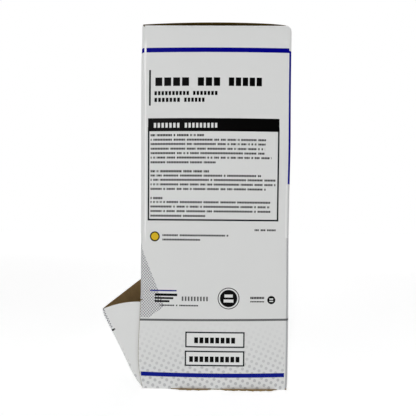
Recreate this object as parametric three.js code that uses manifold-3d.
// Counter-top carton that dispenses foam ear plugs: a folded paperboard sleeve with a tuck-in lid on top
// and a chute that swings out of the front, holding pairs of ear plugs sealed in small bags of clear film.
// Millimetres. +Z is up, the chute faces -X and the near side panel faces -Y.
// The origin is the centre of the footprint, on the surface that the carton stands on.
import * as THREE from "three";
import { mergeVertices } from "three/addons/utils/BufferGeometryUtils.js";
import Module from "manifold-3d";

const wasm = await Module();
wasm.setup();

// Carton
const cartonDepth = 117; // front face to back face
const cartonWidth = 140; // side face to side face
const cartonHeight = 282; // standing surface to the top folds
const board = 0.8; // paperboard thickness
const foldGap = 0.3; // clearance where two pieces of board meet at a fold or lie on each other
const creaseRadius = 3; // outside radius of the four upright folds
const bottomSideInset = 0.3; // each cut side of the bottom panel behind the side face
const sideEdgeBow = 1.9; // how far the free front edge of a side panel springs forward beside the chute
const sideEdgeBowHeight = 26; // height at which it stands furthest forward
const sideEdgeEase = 0.4; // share of each stretch of that edge over which it curves

// Lid and its tuck flap
const lidRise = 1.75; // bow of the closed lid at its middle
const lidSideInset = 1; // each cut side of the lid behind the side face
const lidSetback = 0.5; // back edge of the lid plate in front of its fold line
const tuckLength = 20;
const tuckTilt = THREE.MathUtils.degToRad(8); // inward lean of the tucked flap
const tuckClearance = 0.4; // between the tuck flap and the front panel
const tuckSideInset = 5;
const tuckCornerRadius = 9;

// Dust flaps under the lid and on the floor
const dustFlapLength = 54; // side fold to free edge
const dustFlapEndInset = 4; // each end of the fold line behind the carton's corner
const dustFlapBackTaper = THREE.MathUtils.degToRad(24); // slant of the end beside the lid's fold
const dustFlapFrontTaper = THREE.MathUtils.degToRad(10); // slant of the end beside the tuck flap
const dustFlapFrontInset = 9; // start of the front end, clear of the tuck flap
const floorFlapLength = 50;
const floorFlapTaper = THREE.MathUtils.degToRad(12);

// Glue seam inside the far side panel
const seamWidth = 15;
const seamEndInset = 9; // each end of the seam short of the panel's ends
const seamEndTaper = THREE.MathUtils.degToRad(18); // slant of its ends

// Chute
const chuteLength = 68.5; // fold line to lip
const chuteAngle = THREE.MathUtils.degToRad(25); // lean of the open chute, outward from upright
const chuteRootGap = 0.8; // start of the chute plates above their fold line
const mouthGap = 1; // closed lip to the lower edge of the front panel
const wingFoot = 7; // lowest part of a wing, from the fold line
const wingRadiusCut = 0.1; // wing arc inside the lip's radius
const wingSpan = THREE.MathUtils.degToRad(36); // angle that a wing covers, from the front flap inward
const stopTabHeight = 8.5; // stop tab beyond the wing's arc
const stopTabClearance = 0.4; // stop tab to the inside of the rounded front fold

// Ear plugs
const plugDiameter = 13; // flared base
const plugLength = 24;
const plugNeckDiameter = 11.4; // just before the rounded nose
const plugNoseLength = 6;
const plugEdge = 0.8; // rounding round the base
const plugSpacing = 16; // between the axes of a pair
const plugSides = 12;
const noseSteps = 3; // facets along the rounded nose

// Bags
const film = 0.3; // film thickness, heavier than the real film so that it has a volume
const sealWidth = 3.5;
const bagClearance = 0.3; // plug to film
const bagEndSlack = 3.2; // room between the ends of the plugs and the seals
const bagWidth = 50;
const bagCavityRim = 0.1; // half height of the cavity where the two films part
const ventRadius = 1.4; // air hole in one film
const ventSides = 10;

// How the bags lie in the carton
const floorColumns = 2; // side by side across the carton
const fullLayers = 2;
const bagTurn = THREE.MathUtils.degToRad(6); // largest turn of a bag in its place
const bagShift = 3.5; // largest sideways shift of a bag in its place
const turnStep = 2.4; // radians between one bag's turn and the next
const shiftStep = 1.7; // radians between one bag's shift and the next
const wallBagTilt = THREE.MathUtils.degToRad(15); // lean of the top bags against the back panel
const nextBagOffset = -19; // sideways place of the bag that lies in the chute
const bagGap = 0.3; // between bags, and between a bag and the board

// Surfaces worked out from the sizes above
const front = -cartonDepth / 2;
const back = cartonDepth / 2;
const side = cartonWidth / 2;
const frontInside = front + board;
const backInside = back - board;
const sideInside = side - board;
const wallBottom = board + foldGap;
const floorTop = wallBottom + board;
const flapPlane = board / 2;
const chuteAxis = { x: front + flapPlane, z: flapPlane };
const frontPanelBottom = chuteAxis.z + chuteLength + mouthGap;
const lidAxis = { x: back - flapPlane, z: cartonHeight + foldGap / 2 };
const tuckAxisX = frontInside + tuckClearance + flapPlane;
const lidFront = tuckAxisX - flapPlane - lidAxis.x;
const bagLength = plugLength + 2 * (bagEndSlack + sealWidth);
const bagHalfHeight = plugDiameter / 2 + bagClearance + film;

// Facets of the curved outlines
const foldFacets = 4; // each quarter turn of an upright fold
const cornerFacets = 6; // a rounded corner of a flap
const archFacets = 12; // the lid's arch, a wing's arc and a side panel's free edge

// Finishes
const whiteCoat = { color: 0xd7d8d6, roughness: 0.45, metalness: 0 };
const kraft = { color: 0x6b5030, roughness: 0.85, metalness: 0 };
const foam = { color: 0xf26a1b, roughness: 0.9, metalness: 0 };
const clearFilm = { color: 0xdfe6ea, roughness: 0.2, metalness: 0 };

function mesh(name, geometry, finish) {
  const part = new THREE.Mesh(geometry, new THREE.MeshStandardMaterial(finish));
  part.name = name;
  return part;
}

// Extrudes a flat outline by the given depth, from zero along +Z.
function extrude(shape, depth, curveSegments = cornerFacets) {
  return new THREE.ExtrudeGeometry(shape, { depth, bevelEnabled: false, curveSegments });
}

function polygon(points) {
  return new THREE.Shape(points.map(([x, y]) => new THREE.Vector2(x, y)));
}

// An outline drawn in X and Z becomes an upright plate between two Y values.
function uprightAlongX(shape, fromY, toY) {
  const plate = extrude(shape, toY - fromY, archFacets);
  plate.rotateX(Math.PI / 2);
  plate.translate(0, toY, 0);
  return plate;
}

// An outline drawn in Y and Z becomes an upright plate between two X values.
function uprightAlongY(shape, fromX, toX) {
  const plate = extrude(shape, toX - fromX);
  plate.rotateX(Math.PI / 2);
  plate.rotateZ(Math.PI / 2);
  plate.translate(fromX, 0, 0);
  return plate;
}

// The front or back panel with half of the sleeve's rounding: it turns both upright folds of its face.
function wrappedPanel(bottom, isBack) {
  const centreX = front + creaseRadius;
  const centreY = side - creaseRadius;
  const inner = creaseRadius - board;
  const outline = new THREE.Shape();
  outline.moveTo(centreX, -side);
  outline.absarc(centreX, -centreY, creaseRadius, -Math.PI / 2, -Math.PI, true);
  outline.absarc(centreX, centreY, creaseRadius, Math.PI, Math.PI / 2, true);
  outline.absarc(centreX, centreY, inner, Math.PI / 2, Math.PI, false);
  outline.absarc(centreX, -centreY, inner, -Math.PI, -Math.PI / 2, false);
  outline.closePath();
  const panel = extrude(outline, cartonHeight - bottom, foldFacets);
  if (isBack) {
    panel.rotateZ(Math.PI);
  }
  panel.translate(0, 0, bottom);
  return panel;
}

// A side panel is flat. Above the chute it meets the front fold, and beside the chute its front edge
// is a free cut edge that springs a little forward.
function sidePanel(fromY, toY) {
  const upperFront = front + creaseRadius + foldGap;
  const panelBack = back - creaseRadius - foldGap;
  const stepHeight = frontPanelBottom - foldGap;
  const bowed = front - sideEdgeBow;
  const upperEase = sideEdgeEase * (stepHeight - sideEdgeBowHeight);
  const lowerEase = sideEdgeEase * (sideEdgeBowHeight - wallBottom);
  const outline = new THREE.Shape();
  outline.moveTo(panelBack, wallBottom);
  outline.lineTo(panelBack, cartonHeight);
  outline.lineTo(upperFront, cartonHeight);
  outline.lineTo(upperFront, stepHeight);
  outline.lineTo(front, stepHeight);
  outline.bezierCurveTo(
    front, stepHeight - upperEase, bowed, sideEdgeBowHeight + upperEase, bowed, sideEdgeBowHeight,
  );
  outline.bezierCurveTo(
    bowed, sideEdgeBowHeight - lowerEase, front, wallBottom + lowerEase, front, wallBottom,
  );
  outline.closePath();
  return uprightAlongX(outline, fromY, toY);
}

function glueSeam() {
  const seamBack = back - creaseRadius;
  const low = floorTop + seamEndInset;
  const high = cartonHeight - seamEndInset;
  const slant = seamWidth * Math.tan(seamEndTaper);
  const outline = polygon([
    [seamBack - seamWidth, low + slant],
    [seamBack, low],
    [seamBack, high],
    [seamBack - seamWidth, high - slant],
  ]);
  const outer = sideInside - foldGap;
  return uprightAlongX(outline, outer - board, outer);
}

function bottomPanel() {
  const halfWidth = side - bottomSideInset;
  const outline = polygon([[front, -halfWidth], [back, -halfWidth], [back, halfWidth], [front, halfWidth]]);
  return extrude(outline, board);
}

// A floor flap folds in from a side panel and lies on the bottom panel. hand is -1 near and 1 far.
function floorFlap(hand) {
  const root = sideInside - foldGap;
  const tip = root - floorFlapLength;
  const rootEnd = cartonDepth / 2 - dustFlapEndInset;
  const tipEnd = rootEnd - floorFlapLength * Math.tan(floorFlapTaper);
  const outline = polygon([
    [-rootEnd, hand * root],
    [rootEnd, hand * root],
    [tipEnd, hand * tip],
    [-tipEnd, hand * tip],
  ]);
  const flap = extrude(outline, board);
  flap.translate(0, 0, wallBottom);
  return flap;
}

// A top dust flap folds in from a side panel under the lid. Its back end slants away from the lid's fold,
// so that the flap can rise as the lid opens.
function dustFlap(hand) {
  const root = sideInside - foldGap;
  const tip = root - dustFlapLength;
  const backEnd = back - dustFlapEndInset;
  const frontEnd = front + dustFlapFrontInset;
  const outline = polygon([
    [frontEnd, hand * root],
    [backEnd, hand * root],
    [backEnd - dustFlapLength * Math.tan(dustFlapBackTaper), hand * tip],
    [frontEnd + dustFlapLength * Math.tan(dustFlapFrontTaper), hand * tip],
  ]);
  const flap = extrude(outline, board);
  flap.translate(0, 0, cartonHeight - board);
  return flap;
}

// The lid, drawn from its fold line, is a shallow arch from back to front.
function lid() {
  const chord = -lidSetback - lidFront;
  const archRadius = (chord * chord) / (8 * lidRise) + lidRise / 2;
  const middle = (lidFront - lidSetback) / 2;
  const underside = foldGap / 2;
  const centreHeight = underside + lidRise - archRadius;
  const halfAngle = Math.asin(chord / 2 / archRadius);
  const outline = new THREE.Shape();
  const start = Math.PI / 2 - halfAngle;
  const end = Math.PI / 2 + halfAngle;
  outline.absarc(middle, centreHeight, archRadius, start, end, false);
  outline.absarc(middle, centreHeight, archRadius + board, end, start, true);
  outline.closePath();
  const halfWidth = side - lidSideInset;
  return uprightAlongX(outline, -halfWidth, halfWidth);
}

// The tuck flap, drawn hanging from its own fold line, has round lower corners.
function tuckFlap() {
  const halfWidth = side - tuckSideInset;
  const bottom = -tuckLength;
  const corner = Math.min(tuckCornerRadius, tuckLength - 2 * foldGap);
  const outline = new THREE.Shape();
  outline.moveTo(-halfWidth, -foldGap);
  outline.absarc(-halfWidth + corner, bottom + corner, corner, Math.PI, 1.5 * Math.PI, false);
  outline.absarc(halfWidth - corner, bottom + corner, corner, 1.5 * Math.PI, 2 * Math.PI, false);
  outline.lineTo(halfWidth, -foldGap);
  outline.closePath();
  return uprightAlongY(outline, -flapPlane, flapPlane);
}

// The chute's pieces are drawn closed, standing upright on their fold line, and the group leans them out.
function chuteFlap() {
  const halfWidth = sideInside - foldGap;
  const outline = polygon([
    [-halfWidth, chuteRootGap],
    [halfWidth, chuteRootGap],
    [halfWidth, chuteLength],
    [-halfWidth, chuteLength],
  ]);
  return uprightAlongY(outline, -flapPlane, flapPlane);
}

// A wing is a sector about the fold line, inside the side panel. Its stop tab stands above the arc and
// catches the inside of the rounded front fold when the chute is open.
function chuteWing(hand) {
  const arcRadius = chuteLength - wingRadiusCut;
  const tabRadius = chuteLength + stopTabHeight;
  const flapFace = flapPlane + foldGap;
  const foldInside = creaseRadius - board;
  const wingOffset = foldInside - foldGap - board / 2;
  const roundDepth = creaseRadius - Math.sqrt(foldInside * foldInside - wingOffset * wingOffset);
  const tabFront = roundDepth + stopTabClearance + board;
  const tabStart = chuteAngle + Math.asin(tabFront / chuteLength);
  const polar = (radius, angle) => [radius * Math.sin(angle), radius * Math.cos(angle)];
  const outline = new THREE.Shape();
  outline.moveTo(flapFace, wingFoot);
  const arcStart = Math.acos(flapFace / arcRadius);
  outline.absarc(0, 0, arcRadius, arcStart, Math.PI / 2 - tabStart, true);
  outline.lineTo(...polar(tabRadius, tabStart));
  outline.lineTo(...polar(tabRadius, wingSpan));
  outline.lineTo(...polar(wingFoot, wingSpan));
  outline.closePath();
  const outer = sideInside - foldGap;
  return hand < 0
    ? uprightAlongX(outline, -outer, -outer + board)
    : uprightAlongX(outline, outer - board, outer);
}

// An ear plug lies along X with its flared base at -X and its rounded nose at +X.
function plug() {
  const base = plugDiameter / 2;
  const neck = plugNeckDiameter / 2;
  const noseStart = plugLength - plugNoseLength;
  const profile = [
    new THREE.Vector2(0, 0),
    new THREE.Vector2(base - plugEdge, 0),
    new THREE.Vector2(base, plugEdge),
    new THREE.Vector2(neck, noseStart),
  ];
  for (let step = 1; step < noseSteps; step += 1) {
    const angle = (step / noseSteps) * (Math.PI / 2);
    profile.push(new THREE.Vector2(neck * Math.cos(angle), noseStart + plugNoseLength * Math.sin(angle)));
  }
  profile.push(new THREE.Vector2(0, plugLength));
  const body = new THREE.LatheGeometry(profile, plugSides);
  body.translate(0, -plugLength / 2, 0);
  body.rotateZ(-Math.PI / 2);
  return body;
}

// A closed pillow over a grid of knots: its half height at a knot is the smaller of the two profiles.
function pillow(knotsX, knotsY) {
  const positions = [];
  const index = [];
  const rows = knotsY.length;
  const upper = (i, j) => 2 * (i * rows + j);
  const lower = (i, j) => upper(i, j) + 1;
  for (const [x, heightX] of knotsX) {
    for (const [y, heightY] of knotsY) {
      const height = Math.min(heightX, heightY);
      positions.push(x, y, height, x, y, -height);
    }
  }
  const quad = (a, b, c, d) => index.push(a, b, c, a, c, d);
  for (let i = 0; i < knotsX.length - 1; i += 1) {
    for (let j = 0; j < rows - 1; j += 1) {
      quad(upper(i, j), upper(i + 1, j), upper(i + 1, j + 1), upper(i, j + 1));
      quad(lower(i, j), lower(i, j + 1), lower(i + 1, j + 1), lower(i + 1, j));
    }
    quad(lower(i, 0), lower(i + 1, 0), upper(i + 1, 0), upper(i, 0));
    quad(upper(i, rows - 1), upper(i + 1, rows - 1), lower(i + 1, rows - 1), lower(i, rows - 1));
  }
  const last = knotsX.length - 1;
  for (let j = 0; j < rows - 1; j += 1) {
    quad(lower(0, j), upper(0, j), upper(0, j + 1), lower(0, j + 1));
    quad(upper(last, j), lower(last, j), lower(last, j + 1), upper(last, j + 1));
  }
  const geometry = new THREE.BufferGeometry();
  geometry.setAttribute("position", new THREE.Float32BufferAttribute(positions, 3));
  geometry.setIndex(index);
  return geometry;
}

function toSolid(geometry) {
  const bare = geometry.clone();
  bare.deleteAttribute("normal");
  bare.deleteAttribute("uv");
  const merged = mergeVertices(bare, 1e-4);
  return new wasm.Manifold(new wasm.Mesh({
    numProp: 3,
    vertProperties: new Float32Array(merged.attributes.position.array),
    triVerts: new Uint32Array(merged.index.array),
  }));
}

function toGeometry(solid) {
  const result = solid.getMesh();
  const geometry = new THREE.BufferGeometry();
  geometry.setAttribute("position", new THREE.Float32BufferAttribute(result.vertProperties, 3));
  geometry.setIndex(new THREE.Uint32BufferAttribute(result.triVerts, 1));
  geometry.computeVertexNormals();
  return geometry;
}

// Profile of one direction of a bag: seal, slope, level crown over the plugs, slope, seal.
function bagProfile(half, crown, height, rim) {
  const knots = [[crown, height], [half - sealWidth, rim]];
  if (rim > bagCavityRim) {
    knots.push([half, rim]);
  }
  return [...knots.map(([at, h]) => [-at, h]).reverse(), ...knots];
}

// A sealed bag is two films round a cavity, with an air hole in the upper film.
function bag() {
  const crownX = plugLength / 2 + bagClearance;
  const crownY = plugSpacing / 2 + plugDiameter / 2 - plugEdge;
  const cavityHeight = bagHalfHeight - film;
  const outside = pillow(
    bagProfile(bagLength / 2, crownX, bagHalfHeight, film),
    bagProfile(bagWidth / 2, crownY, bagHalfHeight, film),
  );
  const cavity = pillow(
    bagProfile(bagLength / 2, crownX, cavityHeight, bagCavityRim),
    bagProfile(bagWidth / 2, crownY, cavityHeight, bagCavityRim),
  );
  const vent = new THREE.CylinderGeometry(ventRadius, ventRadius, plugDiameter, ventSides);
  vent.rotateX(Math.PI / 2);
  vent.translate(crownX + ventRadius / 2, 0, plugDiameter / 2);
  return toGeometry(toSolid(outside).subtract(toSolid(cavity)).subtract(toSolid(vent)));
}

const bagGeometry = bag();
const plugGeometry = plug();

// One bag with its two plugs, head to tail, in a group of its own.
function pair(number) {
  const label = String(number).padStart(2, "0");
  const group = new THREE.Group();
  const left = mesh(`ear_plug_${label}_a`, plugGeometry, foam);
  left.position.y = -plugSpacing / 2;
  const right = mesh(`ear_plug_${label}_b`, plugGeometry, foam);
  right.position.y = plugSpacing / 2;
  right.rotation.z = Math.PI;
  group.add(mesh(`bag_${label}`, bagGeometry, clearFilm), left, right);
  return group;
}

// The chute, its wings and the bag that lies against it lean out together about the front bottom fold.
function chuteGroup() {
  const group = new THREE.Group();
  group.position.set(chuteAxis.x, 0, chuteAxis.z);
  group.rotation.y = -chuteAngle;
  group.add(
    mesh("chute_front_flap", chuteFlap(), whiteCoat),
    mesh("chute_wing_near", chuteWing(-1), whiteCoat),
    mesh("chute_wing_far", chuteWing(1), whiteCoat),
  );
  const next = pair(1);
  const floorClear = floorTop + bagGap - chuteAxis.z;
  next.position.set(flapPlane + bagGap + bagHalfHeight, nextBagOffset, floorClear + bagLength / 2);
  next.rotation.y = -Math.PI / 2;
  group.add(next);
  return group;
}

function lidGroup() {
  const group = new THREE.Group();
  group.position.set(lidAxis.x, 0, lidAxis.z);
  const tuck = mesh("lid_tuck_flap", tuckFlap(), whiteCoat);
  tuck.position.set(tuckAxisX - lidAxis.x, 0, 0);
  tuck.rotation.y = -tuckTilt;
  group.add(mesh("lid_panel", lid(), whiteCoat), tuck);
  return group;
}

// Bags lie flat in full layers behind the closed chute, each turned and shifted a little in its place.
// The last row leans against the back panel on top of them.
function looseBags() {
  const group = new THREE.Group();
  const pileFront = frontInside + 2 * (bagGap + bagHalfHeight) + bagGap;
  const pileBack = backInside - bagGap;
  const pileSide = sideInside - foldGap - board - bagGap;
  const turnedLength = bagLength * Math.cos(bagTurn) + bagWidth * Math.sin(bagTurn) + bagGap;
  const rows = Math.max(1, Math.floor((pileBack - pileFront) / turnedLength));
  const rowPitch = (pileBack - pileFront) / rows;
  const columnPitch = (2 * pileSide) / floorColumns;
  const layerPitch = 2 * bagHalfHeight + bagGap;
  const columnPlace = (column) => -pileSide + (column + 0.5) * columnPitch;
  let number = 2;
  for (let layer = 0; layer < fullLayers; layer += 1) {
    for (let row = 0; row < rows; row += 1) {
      for (let column = 0; column < floorColumns; column += 1) {
        const placed = pair(number);
        placed.position.set(
          pileFront + (row + 0.5) * rowPitch,
          columnPlace(column) + bagShift * Math.cos(shiftStep * number),
          floorTop + bagGap + bagHalfHeight + layer * layerPitch,
        );
        placed.rotation.z = bagTurn * Math.sin(turnStep * number);
        group.add(placed);
        number += 1;
      }
    }
  }
  const crownX = plugLength / 2 + bagClearance;
  const lowest = crownX * Math.sin(wallBagTilt) + bagHalfHeight * Math.cos(wallBagTilt);
  const reach = (bagLength / 2) * Math.cos(wallBagTilt) + film * Math.sin(wallBagTilt);
  for (let column = 0; column < floorColumns; column += 1) {
    const placed = pair(number);
    placed.position.set(
      pileBack - reach,
      columnPlace(column) + bagShift * Math.cos(shiftStep * number),
      floorTop + fullLayers * layerPitch + bagGap + lowest,
    );
    placed.rotation.y = -wallBagTilt;
    group.add(placed);
    number += 1;
  }
  return group;
}

const carton = new THREE.Group();
carton.add(
  mesh("near_side_panel", sidePanel(-side, -sideInside), whiteCoat),
  mesh("far_side_panel", sidePanel(sideInside, side), whiteCoat),
  mesh("front_panel", wrappedPanel(frontPanelBottom, false), whiteCoat),
  mesh("back_panel", wrappedPanel(wallBottom, true), whiteCoat),
  mesh("glue_seam_flap", glueSeam(), kraft),
  mesh("bottom_panel", bottomPanel(), kraft),
  mesh("floor_flap_near", floorFlap(-1), kraft),
  mesh("floor_flap_far", floorFlap(1), kraft),
  mesh("top_dust_flap_near", dustFlap(-1), whiteCoat),
  mesh("top_dust_flap_far", dustFlap(1), whiteCoat),
  lidGroup(),
  chuteGroup(),
  looseBags(),
);

export default carton;
